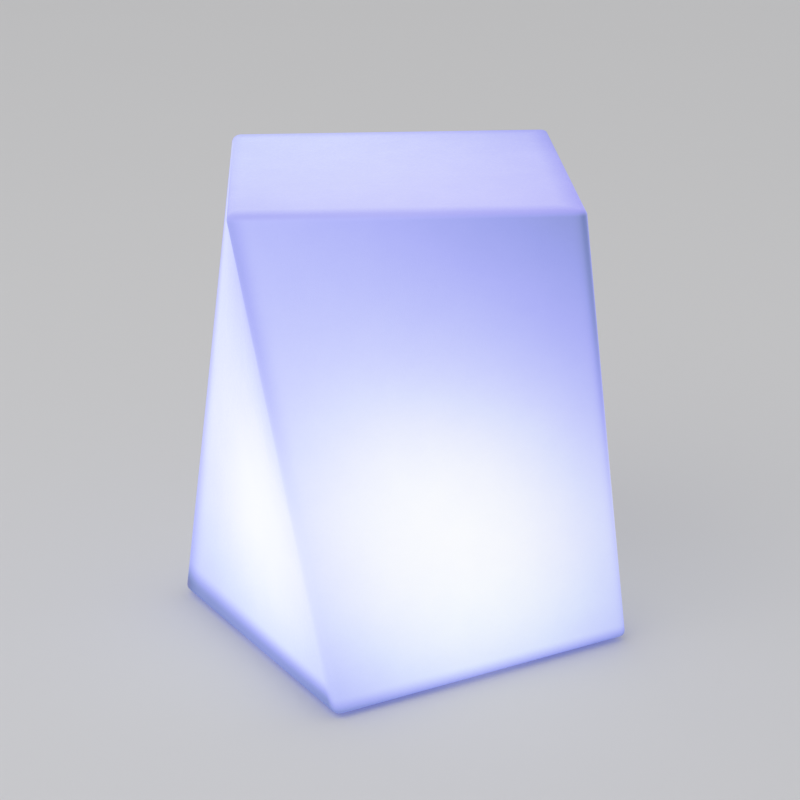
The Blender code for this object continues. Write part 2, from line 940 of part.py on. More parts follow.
def button_mesh():
    """The cap with its retaining rim and the stem that works the switch."""
    face = bezel_bottom - button_projection
    stem_top = switch_z + seat_gap
    profile = [
        (0, stem_top),
        (button_stem_radius, stem_top),
        (button_stem_radius, rim_top),
        (button_rim_radius, rim_top),
        (button_rim_radius, rim_bottom),
        (button_radius, rim_bottom),
        (button_radius, face + button_edge),
        (button_radius - button_edge, face),
        (0, face),
    ]
    return turned_mesh(profile, medium_segments)


def switch_mesh():
    """A switch body with a blind bore that takes the button's stem."""
    thing = helper(box_mesh((switch_side, switch_side, switch_height)))
    thing.data.transform(Matrix.Translation((0, 0, switch_height / 2)))
    depth = button_travel + 3 * seat_gap
    combine(thing, [rod(button_stem_radius + seat_gap, -overrun, depth)], "DIFFERENCE")
    return finished(thing)


def tube_mesh(points, radius):
    """A round tube along a list of points, with closed ends."""
    curve = bpy.data.curves.new("tube", "CURVE")
    curve.dimensions = "3D"
    curve.bevel_depth = radius
    curve.bevel_resolution = 1
    curve.use_fill_caps = True
    line = curve.splines.new("POLY")
    line.points.add(len(points) - 1)
    for target, point in zip(line.points, points):
        target.co = (*point, 1)
    thing = bpy.data.objects.new("tube", curve)
    cutters.objects.link(thing)
    mesh = as_mesh(thing)
    bpy.data.objects.remove(thing, do_unlink=True)
    working = bmesh.new()
    working.from_mesh(mesh)
    bmesh.ops.remove_doubles(working, verts=working.verts, dist=radius / large_segments)
    bmesh.ops.recalc_face_normals(working, faces=working.faces)
    working.to_mesh(mesh)
    working.free()
    shade(mesh)
    return mesh


def spring_mesh():
    """A coil between the button's rim and the switch."""
    coil_radius = button_stem_radius + seat_gap + spring_wire_radius + button_rim_width / 2
    low = rim_top + seat_gap + spring_wire_radius
    high = switch_z - seat_gap - spring_wire_radius
    count = spring_turns * spring_points_per_turn
    points = []
    for i in range(count + 1):
        share = i / count
        x, y = polar(coil_radius, math.tau * spring_turns * share)
        points.append((x, y, low + (high - low) * share))
    return tube_mesh(points, spring_wire_radius)


button_place = (controls_x, button_y, tray_z)
place("button_bezel", bezel_mesh(), "black_plastic", button_place)
place("button_cap", button_mesh(), "grey_silicone", button_place)
place("button_spring", spring_mesh(), "steel", button_place)
switch_place = (controls_x, button_y, tray_z + switch_z)
place("button_switch", switch_mesh(), "black_plastic", switch_place)

# Leads, each from one terminal to the next


def smooth_path(stops):
    """Points along a smooth curve through the stops."""
    points = [Vector(stop) for stop in stops]
    before = [2 * points[0] - points[1], *points[:-1]]
    after = [*points[2:], 2 * points[-1] - points[-2]]
    path = []
    for p0, p1, p2, p3 in zip(before, points, points[1:], after):
        for step in range(lead_points_per_span):
            t = step / lead_points_per_span
            pull = (p2 - p0) * t
            bend = (2 * p0 - 5 * p1 + 4 * p2 - p3) * t**2
            twist = (3 * p1 - p0 - 3 * p2 + p3) * t**3
            path.append(p1 + (pull + bend + twist) / 2)
    path.append(points[-1])
    return path


def place_lead(name, stops, finish):
    place(name, tube_mesh(smooth_path(stops), lead_radius), finish)


plug_z = component_z + connector_height / 2
plug_x = power_connector_x + connector_depth / 2 + seat_gap
plug_y = connector_width / 4
jack_top_z = tray_z + flange_thickness + 2 * seat_gap + jack_body_height
place_lead(
    "jack_lead",
    [
        (controls_x, jack_y, jack_top_z),
        (controls_x, jack_y, jack_top_z + lead_bend),
        (controls_x - lead_bend, jack_y + lead_bend, plug_z),
        (plug_x + lead_bend, -plug_y, plug_z),
        (plug_x, -plug_y, plug_z),
    ],
    "red_lead",
)
switch_top_z = switch_place[2] + switch_height + seat_gap
place_lead(
    "switch_lead",
    [
        (controls_x, button_y, switch_top_z),
        (controls_x, button_y, switch_top_z + lead_bend),
        (controls_x - lead_bend, button_y - lead_bend, plug_z),
        (plug_x + lead_bend, plug_y, plug_z),
        (plug_x, plug_y, plug_z),
    ],
    "black_plastic",
)
holder_end_y = -holder_length / 2 - seat_gap
holder_plug_z = holder_z + holder_height / 2
board_end_y = -board_length / 2 - seat_gap
board_middle_z = control_board_z + board_thickness / 2
place_lead(
    "battery_lead",
    [
        (battery_x, holder_end_y, holder_plug_z),
        (battery_x, holder_end_y - lead_bend / 2, holder_plug_z),
        (battery_x, holder_end_y - lead_bend, cell_z + lead_bend),
        (battery_x + lead_bend, holder_end_y, board_middle_z),
        (battery_x + lead_bend, board_end_y - lead_bend / 2, board_middle_z),
        (battery_x + lead_bend, board_end_y, board_middle_z),
    ],
    "red_lead",
)
light_plug_z = component_z + connector_height + seat_gap
light_lead_x = battery_x + lead_bend / 2
light_lead_y = connector_y - lead_bend / 2
place_lead(
    "led_lead",
    [
        (battery_x, connector_y, light_plug_z),
        (battery_x, connector_y, light_plug_z + lead_bend / 2),
        (light_lead_x, light_lead_y, led_board_z - seat_gap - lead_bend / 2),
        (light_lead_x, light_lead_y, led_board_z - seat_gap),
    ],
    "black_plastic",
)
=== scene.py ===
"""Looks of the light-up stool: its glow, the finish of every piece, floor, light and camera.

Metres, +Z up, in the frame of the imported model.
"""

import json
import math

import bmesh
import bpy
from mathutils import Matrix, Vector


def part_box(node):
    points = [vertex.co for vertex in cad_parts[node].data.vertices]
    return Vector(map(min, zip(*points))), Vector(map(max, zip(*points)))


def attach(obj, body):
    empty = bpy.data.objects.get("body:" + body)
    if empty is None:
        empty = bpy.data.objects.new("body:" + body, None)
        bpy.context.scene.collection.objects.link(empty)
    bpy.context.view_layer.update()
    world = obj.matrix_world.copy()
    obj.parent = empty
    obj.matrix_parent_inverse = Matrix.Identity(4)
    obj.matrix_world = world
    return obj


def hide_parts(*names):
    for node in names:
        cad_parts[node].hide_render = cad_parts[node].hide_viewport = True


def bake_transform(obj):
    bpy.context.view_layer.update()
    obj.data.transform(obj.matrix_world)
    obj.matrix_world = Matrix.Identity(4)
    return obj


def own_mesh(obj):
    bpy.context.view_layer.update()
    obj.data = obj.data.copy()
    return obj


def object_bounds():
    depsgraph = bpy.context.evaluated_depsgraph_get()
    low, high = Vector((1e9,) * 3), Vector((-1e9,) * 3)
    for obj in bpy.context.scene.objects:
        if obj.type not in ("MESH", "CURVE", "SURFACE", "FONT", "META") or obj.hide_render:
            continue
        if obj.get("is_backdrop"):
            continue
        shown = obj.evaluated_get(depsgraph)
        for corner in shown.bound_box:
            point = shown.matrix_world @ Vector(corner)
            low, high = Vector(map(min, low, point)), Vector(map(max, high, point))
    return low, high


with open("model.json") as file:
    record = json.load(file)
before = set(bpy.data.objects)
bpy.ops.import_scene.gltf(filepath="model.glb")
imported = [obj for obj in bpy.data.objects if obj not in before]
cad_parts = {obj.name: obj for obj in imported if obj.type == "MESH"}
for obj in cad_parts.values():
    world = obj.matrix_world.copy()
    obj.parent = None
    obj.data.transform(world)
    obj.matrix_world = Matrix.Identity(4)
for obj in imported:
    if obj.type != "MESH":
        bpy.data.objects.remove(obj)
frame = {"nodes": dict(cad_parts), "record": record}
cad_low, cad_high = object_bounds()
nodes = frame["nodes"]

# Shell, as in the model
stool_height = 0.430
seat_side = 0.295
base_side = 0.305
base_turn = math.radians(27.5)
shell_wall = 0.0045
upright_edge_radius = 0.008
rim_radius = 0.006
recess_radius = 0.104
recess_taper = 0.003
recess_lip_radius = 0.006
recess_corner_radius = 0.003
opening_radius = 0.072
shell_base_z = 0.004
ledge_z = 0.034
foot_place_radius = 0.16447
foot_place_degrees = 45
foot_pocket_radius = 0.0123
foot_pocket_z = 0.007
foot_boss_radius = 0.0163
foot_boss_top_z = 0.0185
foot_shank_radius = 0.0021
foot_shank_top_z = 0.0153
insert_place_radius = 0.0835
insert_place_degrees = 0
insert_hole_radius = 0.0041
insert_hole_top_z = 0.0443
insert_boss_radius = 0.0071
insert_boss_top_z = 0.0473

# How far joined forms reach into each other, and how far a cutting form reaches out
overlap = 0.001
overrun = 0.002

# Rubber feet
foot_top_radius = 0.012
foot_base_radius = 0.0108
foot_round = 0.0010
foot_grip_radii = (0.0090, 0.0074)
foot_grip_width = 0.0008
foot_grip_depth = 0.0006
foot_hole_radius = 0.0045
foot_hole_chamfer = 0.0004
foot_seat_z = 0.0040
foot_bore_radius = 0.0021

# Screws that show, as shank radius, head radius and head height
foot_screw_sizes = (0.0018, 0.0042, 0.0022)
tray_screw_sizes = (0.0020, 0.0038, 0.0024)
head_side_share = 0.45
head_chamfer_share = 0.08
drive_width = 0.0009
drive_reach_share = 0.62
drive_depth_share = 0.60
drive_taper = 0.8
drive_turn = math.radians(13)
shank_tip_share = 0.5

# Push button, its bezel and its spring, with heights above the ground
button_radius = 0.0075
button_face_z = 0.0246
button_round = 0.0010
button_dish_radius = 0.0052
button_dish_depth = 0.0005
button_ring_radius = 0.0062
button_rim_radius = 0.0087
button_rim_low_z = 0.0276
button_rim_high_z = 0.0291
button_stem_radius = 0.0022
button_stem_top_z = 0.0405
bezel_flange_radius = 0.0133
bezel_face_z = 0.0261
bezel_back_z = 0.0281
bezel_round = 0.0009
bezel_mouth_radius = 0.0078
bezel_mouth_chamfer = 0.0004
bezel_shoulder_z = 0.0273
bezel_bore_radius = 0.0090
bezel_sleeve_radius = 0.0105
bezel_top_z = 0.0399
spring_coil_radius = 0.00345
spring_wire_radius = 0.00035
spring_low_z = 0.0294
spring_high_z = 0.0399
spring_turns = 5

# Socket cover, strap and anchor, which are one moulding, measured from the hinge line
cover_radius = 0.0085
cover_face_z = -0.0008
cover_round = 0.0006
cover_dish_radius = 0.0058
cover_ring_radius = 0.0063
cover_dish_depth = 0.0003
plug_base_radius = 0.0027
plug_tip_radius = 0.0023
plug_hollow_radius = 0.0018
plug_length = 0.0030
strap_reach = 0.0115
strap_width = 0.005
strap_thickness = 0.0012
strap_bevel = 0.0002
tab_reach = 0.0025
tab_width = 0.006
anchor_reach = 0.0048
anchor_head_radius = 0.0034
anchor_stem_radius = 0.0018
anchor_barb_radius = 0.0026
anchor_barb_z = 0.0048
anchor_top_z = 0.0064

# Facets of the pieces that show underneath
turned_segments = 64
round_steps = 5
head_steps = 10
strap_slices = 60
spring_points_per_turn = 24
spring_wire_steps = 2

# Facets of the shell
corner_steps = 8
side_steps = 16
wall_steps = 40
rim_steps = 6
hole_segments = 32

# Faces that meet at more than this angle show an edge
edge_angle = math.radians(35)

# Shell material. Its glow is worked out from the place of each point on the stool.
shell_base_colour = (0.27, 0.28, 0.36)
shell_second_share = 0.97
shell_specular = 0.2
shell_lit_walls = 0.72
shell_lit_top = 0.94
glow_colours = [
    (0.00, (0.000, 0.000, 0.030)),
    (0.05, (0.050, 0.061, 0.205)),
    (0.16, (0.162, 0.209, 0.451)),
    (0.25, (0.254, 0.300, 0.640)),
    (0.34, (0.340, 0.375, 0.840)),
    (0.42, (0.420, 0.446, 0.930)),
    (0.50, (0.500, 0.532, 0.965)),
    (0.60, (0.600, 0.637, 0.990)),
    (0.70, (0.700, 0.747, 0.991)),
    (0.81, (0.815, 0.845, 0.992)),
    (0.91, (0.910, 0.930, 0.995)),
    (1.00, (0.990, 0.995, 1.000)),
]

# A wall's glow: the light's place, the steady and near parts, how fast the near part falls,
# and how much the wall gains across, down, by both, and by their squares. The near part counts
# once at the near distance.
wide_wall = {
    "light": (-0.0307, 0.0406, 0.1198), "steady": 0.598, "near": 2.233, "fall": 6.48,
    "gains": (-0.0522, 0.0145, 0.300, -0.0463, -0.300),
}
left_wall = {
    "light": (-0.0800, -0.0800, 0.1265), "steady": 0.135, "near": 0.843, "fall": 1.22,
    "gains": (-0.2308, -0.1815, 0.2391, 0.300, -0.300),
}
near_distance = 0.2
seat_level = 0.618
seat_gains = (-0.0932, 0.0067, 0.117, -0.2433, -0.1287)

# The steps below are smooth. Each has its start, its end and, where they aren't 0 and 1, the
# values there. These two tell the walls apart, by the distance from the planes between them.
ahead_step = (-0.009, 0.001)
beside_step = (-0.004, 0.004)

# Painted shade at the foot of the walls, where the base and the housing of the light inside keep
# its light from them, by height
wide_foot_shade_step = (0.002, 0.0195, 0.45, 1.0)
left_foot_shade_step = (0.012, 0.034, 0.42, 1.0)

# Where the walls begin, by the distance from the axis and by height
wall_out_step = (0.112, 0.130)
wall_up_step = (0.005, 0.009)

# Darker upright edges: how dark, by height, how wide, and how far in front of the plane. The
# corner plastic is thicker there, and the back left and front right edges also carry painted
# shade, for how a rounded edge darkens when seen at a slant. What is said of the front left edge
# holds for the back right one too.
front_left_edge_step = (0.12, 0.40, 0.0, 0.235)
front_left_edge_width = 0.0065
front_left_edge_shift = 0.001
front_right_edge_step = (0.10, 0.36, 0.16, 0.44)
front_right_edge_width = 0.0048
back_left_edge_depth = 0.38
back_left_edge_width_behind = 0.006
back_left_edge_width_beside = 0.0135

# Underside: its level by the distance from the axis and by height, and where it is. Its dimmer
# glow is painted shade, where the module's tray keeps the light inside from the base.
under_out_step = (0.110, 0.160, 0.62, 0.37)
under_up_step = (0.006, 0.030, 0.0, 0.20)
recess_step = (0.114, 0.126, 1.0, 0.0)
base_step = (0.0042, 0.0068, 1.0, 0.0)

# Seat: where it is, by height, and its darker rim, which is narrower at the left. The rim is
# darker partly from thicker plastic and partly as painted shade, for how the rounded edge darkens
# when seen at a slant.
seat_step = (stool_height - rim_radius, stool_height - 0.0002)
seat_rim_step = (seat_side / 2 - 0.024, seat_side / 2, 1.0, 0.79)
seat_rim_left_shift = 0.012

# How green the glow is: on the walls by height, and on the seat at its middle and towards
# its front right corner
wall_green_step = (0.02, 0.13, 1.03, 1.0)
seat_green = 0.975
seat_green_gain = -0.045

# Noises, each as scale, detail and roughness, and how far each swings the glow
glow_noises = (
    ((9.0, 2.0, 0.5), 0.05),
    ((38.0, 3.0, 0.55), 0.045),
    ((240.0, 2.0, 0.6), 0.025),
)
tint_noise = (40.0, 3.0, 0.6)
scuff_noises = ((14.0, 4.0, 0.65), (420.0, 2.0, 0.5))
scuff_roughness_step = (0.7, 1.3, 0.42, 0.58)

# Bumps of the shell, each as noise, strength and height
shell_bumps = (
    ((900.0, 3.0, 0.6), 0.25, 0.0004),
    ((60.0, 2.0, 0.5), 0.15, 0.0008),
)

# Finish of the other material slots: two colours, scale of their mottle, least and most
# roughness, scale and height of the fine texture and, for bare metal, metallic
plain_finishes = {
    "tray_plastic": (
        (0.80, 0.80, 0.79), (0.76, 0.76, 0.75), 30.0, (0.40, 0.50), 700.0, 0.0002,
    ),
    "frosted_plastic": (
        (0.86, 0.88, 0.92), (0.82, 0.85, 0.90), 25.0, (0.55, 0.65), 900.0, 0.0002,
    ),
    "foot_rubber": (
        (0.020, 0.020, 0.020), (0.032, 0.031, 0.030), 90.0, (0.80, 0.92), 1200.0, 0.0003,
    ),
    "steel": (
        (0.58, 0.59, 0.61), (0.50, 0.51, 0.53), 220.0, (0.25, 0.40), 1500.0, 0.0001, 1.0,
    ),
    "brass": (
        (0.62, 0.44, 0.18), (0.54, 0.37, 0.14), 200.0, (0.28, 0.42), 1200.0, 0.0001, 1.0,
    ),
    "gasket_silicone": (
        (0.30, 0.31, 0.33), (0.26, 0.27, 0.29), 60.0, (0.60, 0.72), 900.0, 0.0002,
    ),
    "cap_silicone": (
        (0.30, 0.31, 0.33), (0.26, 0.27, 0.29), 80.0, (0.60, 0.72), 1000.0, 0.0002,
    ),
    "button_silicone": (
        (0.26, 0.27, 0.29), (0.22, 0.23, 0.25), 80.0, (0.55, 0.68), 1000.0, 0.0002,
    ),
    "black_plastic": (
        (0.022, 0.022, 0.023), (0.030, 0.030, 0.031), 70.0, (0.40, 0.52), 900.0, 0.0002,
    ),
    "connector_plastic": (
        (0.76, 0.74, 0.68), (0.72, 0.70, 0.63), 90.0, (0.30, 0.42), 900.0, 0.0001,
    ),
    "circuit_board": (
        (0.012, 0.13, 0.05), (0.018, 0.17, 0.07), 160.0, (0.30, 0.45), 1500.0, 0.0001,
    ),
    "aluminium": (
        (0.84, 0.84, 0.82), (0.80, 0.80, 0.78), 120.0, (0.35, 0.45), 1500.0, 0.0001,
    ),
    "light_chip": (
        (0.86, 0.80, 0.42), (0.90, 0.86, 0.55), 400.0, (0.20, 0.30), 1500.0, 0.0001,
    ),
    "cell_sleeve": (
        (0.020, 0.070, 0.36), (0.028, 0.085, 0.42), 50.0, (0.25, 0.38), 500.0, 0.0002,
    ),
    "red_lead": (
        (0.42, 0.020, 0.018), (0.36, 0.016, 0.014), 150.0, (0.35, 0.48), 1500.0, 0.0001,
    ),
    "black_lead": (
        (0.020, 0.020, 0.020), (0.028, 0.028, 0.028), 150.0, (0.35, 0.48), 1500.0, 0.0001,
    ),
}
mottle_detail = 4.0
texture_detail = 3.0
plain_noise_roughness = 0.6
plain_bump_strength = 0.5

# Camera, fitted to the photograph's outline
camera_place = (-0.0878, -1.8967, 0.9065)
camera_heading = math.radians(2.66)
camera_pitch = math.radians(20.0)
camera_roll = math.radians(-0.30)
camera_lens = 100.31
sensor_width = 36

# Studio
floor_radius = 40
floor_segments = 128
floor_colour = (0.66, 0.66, 0.67)
floor_second_share = 0.985
floor_noise = (1.5, 3.0, 0.5)
floor_roughness = 0.8
floor_specular = 0.2
world_colour = (1.0, 1.0, 1.0)
world_strength = 0.72
lamp_side = 3.0
lamp_place = (-1.6, -1.8, 3.2)
lamp_power = 30


class Look:
    """A material built from nodes, with short calls for the nodes it uses."""

    def __init__(self, name):
        self.material = bpy.data.materials.new(name)
        self.material.use_nodes = True
        self.tree = self.material.node_tree
        self.shader = self.tree.nodes["Principled BSDF"]
        self.place = self.add("ShaderNodeTexCoord").outputs["Object"]

    def add(self, kind, **settings):
        node = self.tree.nodes.new(kind)
        for name, value in settings.items():
            setattr(node, name, value)
        return node

    def feed(self, socket, value):
        """Link a socket, or set its own value."""
        if isinstance(value, bpy.types.NodeSocket):
            self.tree.links.new(value, socket)
        else:
            socket.default_value = value

    def feed_all(self, sockets, values):
        for socket, value in zip(sockets, values):
            self.feed(socket, value)

    def set(self, **inputs):
        """Feed the shader's inputs, with underscores for spaces."""
        for name, value in inputs.items():
            self.feed(self.shader.inputs[name.replace("_", " ")], value)

    def math(self, operation, *values):
        node = self.add("ShaderNodeMath", operation=operation)
        self.feed_all(node.inputs, values)
        return node.outputs[0]

    def plus(self, first, second):
        return self.math("ADD", first, second)

    def minus(self, first, second):
        return self.math("SUBTRACT", first, second)

    def times(self, first, second):
        return self.math("MULTIPLY", first, second)

    def over(self, first, second):
        return self.math("DIVIDE", first, second)

    def larger(self, first, second):
        return self.math("MAXIMUM", first, second)

    def between(self, share, first, second):
        """The first number where the share is 0, the second where it is 1."""
        return self.math("MULTIPLY_ADD", share, self.minus(second, first), first)

    def vector(self, operation, *values, output="Vector"):
        node = self.add("ShaderNodeVectorMath", operation=operation)
        self.feed_all([s for s in node.inputs if s.enabled], values)
        return node.outputs[output]

    def scaled(self, vector, factor):
        node = self.add("ShaderNodeVectorMath", operation="SCALE")
        self.feed(node.inputs[0], vector)
        self.feed(node.inputs["Scale"], factor)
        return node.outputs["Vector"]

    def parts(self, vector):
        node = self.add("ShaderNodeSeparateXYZ")
        self.feed(node.inputs[0], vector)
        return node.outputs[0], node.outputs[1], node.outputs[2]

    def joined(self, x, y, z):
        node = self.add("ShaderNodeCombineXYZ")
        self.feed_all(node.inputs, (x, y, z))
        return node.outputs[0]

    def smooth(self, value, start, end, low=0.0, high=1.0):
        """A smooth step of the value from start to end."""
        node = self.add("ShaderNodeMapRange", interpolation_type="SMOOTHSTEP")
        self.feed_all(node.inputs, (value, start, end, low, high))
        return node.outputs[0]

    def noise(self, scale, detail, roughness):
        node = self.add("ShaderNodeTexNoise")
        self.feed(node.inputs["Vector"], self.place)
        self.feed(node.inputs["Scale"], scale)
        self.feed(node.inputs["Detail"], detail)
        self.feed(node.inputs["Roughness"], roughness)
        return node.outputs["Fac"]

    def ramp(self, value, stops):
        """A colour for each value, between stops given as position and colour."""
        node = self.add("ShaderNodeValToRGB")
        self.feed(node.inputs[0], value)
        elements = node.color_ramp.elements
        while len(elements) < len(stops):
            elements.new(1.0)
        for element, (position, colour) in zip(elements, stops):
            element.position = position
            element.color = (*colour, 1)
        return node.outputs["Color"]

    def mix(self, share, first, second):
        """The first colour where the share is 0, the second where it is 1."""
        node = self.add("ShaderNodeMix", data_type="RGBA")
        self.feed(node.inputs["Factor"], share)
        colours = [s for s in node.inputs if s.type == "RGBA"]
        self.feed_all(colours, ((*first, 1), (*second, 1)))
        return next(s for s in node.outputs if s.type == "RGBA")

    def bump(self, height, strength, distance, under=None):
        node = self.add("ShaderNodeBump")
        self.feed(node.inputs["Height"], height)
        self.feed(node.inputs["Strength"], strength)
        self.feed(node.inputs["Distance"], distance)
        if under:
            self.feed(node.inputs["Normal"], under)
        return node.outputs["Normal"]


def shaded(colour, share):
    return tuple(part * share for part in colour)


def front_left_edge():
    """The straight upright edge at the front left, as its place at the ground and its slope."""
    turn = -math.tau * 3 / 8
    seat = Matrix.Rotation(turn, 2) @ Vector((seat_side / math.sqrt(2), 0))
    base = Matrix.Rotation(turn + base_turn, 2) @ Vector((base_side / math.sqrt(2), 0))
    slope = (seat - base) / (stool_height - shell_base_z)
    start = base - slope * shell_base_z
    return (*start, 0), (*slope, 0)


def gained(look, across, down, gains):
    """What a face gains away from its middle, with across and down from -0.5 to 0.5."""
    terms = (
        across,
        down,
        look.times(across, down),
        look.times(across, across),
        look.times(down, down),
    )
    total = 0.0
    for term, gain in zip(terms, gains):
        total = look.math("MULTIPLY_ADD", term, gain, total)
    return total


def wall_level(look, wall, point, across, down):
    """How bright a wall is, from its distance to the light inside."""
    away = look.vector("DISTANCE", point, wall["light"], output="Value")
    near = look.math("POWER", look.over(away, near_distance), -wall["fall"])
    through = look.math("MULTIPLY_ADD", near, wall["near"], wall["steady"])
    kept = look.math("EXPONENT", look.times(through, -1.0))
    return look.plus(look.minus(1.0, kept), gained(look, across, down, wall["gains"]))


def dip(look, distance, centre, width, depth):
    """A smooth dip of the given depth, as a factor."""
    share = look.over(look.minus(distance, centre), width)
    bell = look.math("EXPONENT", look.times(look.times(share, share), -1.0))
    return look.minus(1.0, look.times(bell, depth))


def under_level(look, z, around_axis):
    """How bright the underside is, and the share by which a point belongs to it."""
    level = look.plus(look.smooth(around_axis, *under_out_step), look.smooth(z, *under_up_step))
    in_recess = look.smooth(around_axis, *recess_step)
    return level, look.larger(in_recess, look.smooth(z, *base_step))


def unevenness(look):
    """A factor about 1 that makes the glow patchy, cloudy and grainy."""
    factor = 1.0
    for noise, swing in glow_noises:
        swung = look.math("MULTIPLY_ADD", look.noise(*noise), swing, 1 - swing / 2)
        factor = look.times(factor, swung)
    return factor


def shell_surface(look):
    """The shell's own colour, scuffs and bumps."""
    second = shaded(shell_base_colour, shell_second_share)
    tint = look.mix(look.noise(*tint_noise), shell_base_colour, second)
    coarse, fine = (look.noise(*noise) for noise in scuff_noises)
    roughness = look.smooth(look.plus(coarse, fine), *scuff_roughness_step)
    look.set(Base_Color=tint, Roughness=roughness, Specular_IOR_Level=shell_specular)
    normal = None
    for noise, strength, height in shell_bumps:
        normal = look.bump(look.noise(*noise), strength, height, normal)
    look.set(Normal=normal)


def shell_look():
    look = Look("shell_plastic")
    x, y, z = look.parts(look.place)
    minus_x = look.times(x, -1.0)
    minus_y = look.times(y, -1.0)
    around_axis = look.vector("LENGTH", look.joined(x, y, 0.0), output="Value")

    # At each height a plane through the axis holds the upright edges at the front left and back
    # right. Ahead is the distance in front of it. Beside is the distance to the left of the plane
    # that stands square to it.
    start, slope = front_left_edge()
    edge = look.vector("MULTIPLY_ADD", look.joined(z, z, 0.0), slope, start)
    edge_x, edge_y, _ = look.parts(edge)
    far = look.vector("LENGTH", edge, output="Value")
    cross_product = look.minus(look.times(edge_x, y), look.times(edge_y, x))
    dot_product = look.vector("DOT_PRODUCT", edge, look.joined(x, y, 0.0), output="Value")
    ahead = look.over(cross_product, far)
    beside = look.over(dot_product, far)
    ahead_share = look.over(ahead, far)
    beside_share = look.over(beside, far)
    wall_middle = (stool_height + shell_base_z) / 2
    down = look.over(look.minus(wall_middle, z), stool_height - shell_base_z)

    # Four walls. The right and back ones are lit like the front one, which is turned to them.
    to_right = look.joined(y, minus_x, z)
    to_back = look.joined(minus_x, minus_y, z)
    front = wall_level(look, wide_wall, look.place, look.minus(ahead_share, 0.5), down)
    right = wall_level(look, wide_wall, to_right, look.minus(-0.5, beside_share), down)
    back = wall_level(look, wide_wall, to_back, look.minus(-0.5, ahead_share), down)
    left = wall_level(look, left_wall, look.place, look.minus(beside_share, 0.5), down)
    is_ahead = look.smooth(ahead, *ahead_step)
    is_beside = look.smooth(beside, *beside_step)
    behind = look.between(is_beside, back, left)
    level = look.between(is_ahead, behind, look.between(is_beside, right, front))

    # Painted shade at the foot, where the base keeps the light inside from the walls, and darker
    # upright edges
    wide_foot_shade = look.smooth(z, *wide_foot_shade_step)
    left_foot_shade = look.smooth(z, *left_foot_shade_step)
    is_left = look.times(look.minus(1.0, is_ahead), is_beside)
    level = look.times(level, look.between(is_left, wide_foot_shade, left_foot_shade))
    # Darker upright edges: thicker plastic at the corners, and painted shade on the back left and
    # front right ones
    is_wall = look.times(
        look.smooth(around_axis, *wall_out_step), look.smooth(z, *wall_up_step)
    )
    depth = look.times(look.smooth(z, *front_left_edge_step), is_wall)
    edge_dip = dip(look, ahead, front_left_edge_shift, front_left_edge_width, depth)
    level = look.times(level, edge_dip)
    front_right_depth = look.smooth(z, *front_right_edge_step)
    depth = look.times(look.between(is_ahead, back_left_edge_depth, front_right_depth), is_wall)
    back_left_width = look.between(
        is_beside, back_left_edge_width_behind, back_left_edge_width_beside
    )
    width = look.between(is_ahead, back_left_width, front_right_edge_width)
    level = look.times(level, dip(look, beside, 0.0, width, depth))

    # The underside's dimmer glow is painted shade from the module's tray
    under, is_under = under_level(look, z, around_axis)
    level = look.between(is_under, level, under)

    # Seat
    seat_across = look.over(x, seat_side)
    seat_down = look.over(minus_y, seat_side)
    seat = look.plus(gained(look, seat_across, seat_down, seat_gains), seat_level)
    # The seat's darker rim: thicker plastic, and painted shade of the rounded edge seen at a slant
    reach = look.larger(
        look.larger(x, look.minus(minus_x, seat_rim_left_shift)), look.larger(y, minus_y)
    )
    seat = look.times(seat, look.smooth(reach, *seat_rim_step))
    is_seat = look.smooth(z, *seat_step)
    level = look.between(is_seat, level, seat)
    level = look.times(level, unevenness(look))

    # The glow's colour, less what the lamps already light
    target = look.ramp(level, glow_colours)
    seat_corner = look.plus(seat_across, seat_down)
    green_on_seat = look.math("MULTIPLY_ADD", seat_corner, seat_green_gain, seat_green)
    green = look.between(is_seat, look.smooth(z, *wall_green_step), green_on_seat)
    target = look.vector("MULTIPLY", target, look.joined(1.0, green, 1.0))
    lit = look.smooth(is_seat, 0.0, 1.0, shell_lit_walls, shell_lit_top)
    own = look.scaled(shell_base_colour, lit)
    emission = look.vector("MAXIMUM", look.vector("SUBTRACT", target, own), (0.0, 0.0, 0.0))
    look.set(Emission_Color=emission, Emission_Strength=1.0)
    shell_surface(look)
    return look.material


def plain_look(name, colour, second, scale, roughness, bump_scale, bump_height, metallic=0.0):
    """A moulded or drawn finish: a mottled colour over a fine texture."""
    look = Look(name)
    mottle = look.noise(scale, mottle_detail, plain_noise_roughness)
    look.set(Base_Color=look.mix(mottle, colour, second), Metallic=metallic)
    low, high = roughness
    patches = look.noise(scale * 2, texture_detail, plain_noise_roughness)
    look.set(Roughness=look.math("MULTIPLY_ADD", patches, high - low, low))
    texture = look.noise(bump_scale, texture_detail, plain_noise_roughness)
    look.set(Normal=look.bump(texture, plain_bump_strength, bump_height))
    return look.material


def linked(name, data):
    """A new object in the scene."""
    thing = bpy.data.objects.new(name, data)
    bpy.context.scene.collection.objects.link(thing)
    return thing


def built(name, working):
    """The mesh that was built in a bmesh, which is freed."""
    mesh = bpy.data.meshes.new(name)
    working.to_mesh(mesh)
    working.free()
    return mesh


def built_outwards(name, working):
    """The same, with its faces turned outwards."""
    bmesh.ops.recalc_face_normals(working, faces=working.faces)
    return built(name, working)


def moved(mesh, place):
    mesh.transform(Matrix.Translation(place))
    return mesh


def taken(thing):
    """The mesh of an object, which is removed."""
    mesh = thing.data
    bpy.data.objects.remove(thing)
    return mesh


def evaluated(thing):
    """A mesh of the object with its modifiers or bevel applied."""
    bpy.context.view_layer.update()
    graph = bpy.context.evaluated_depsgraph_get()
    return bpy.data.meshes.new_from_object(thing.evaluated_get(graph))


def apply_modifiers(thing):
    mesh = evaluated(thing)
    thing.modifiers.clear()
    thing.data = mesh


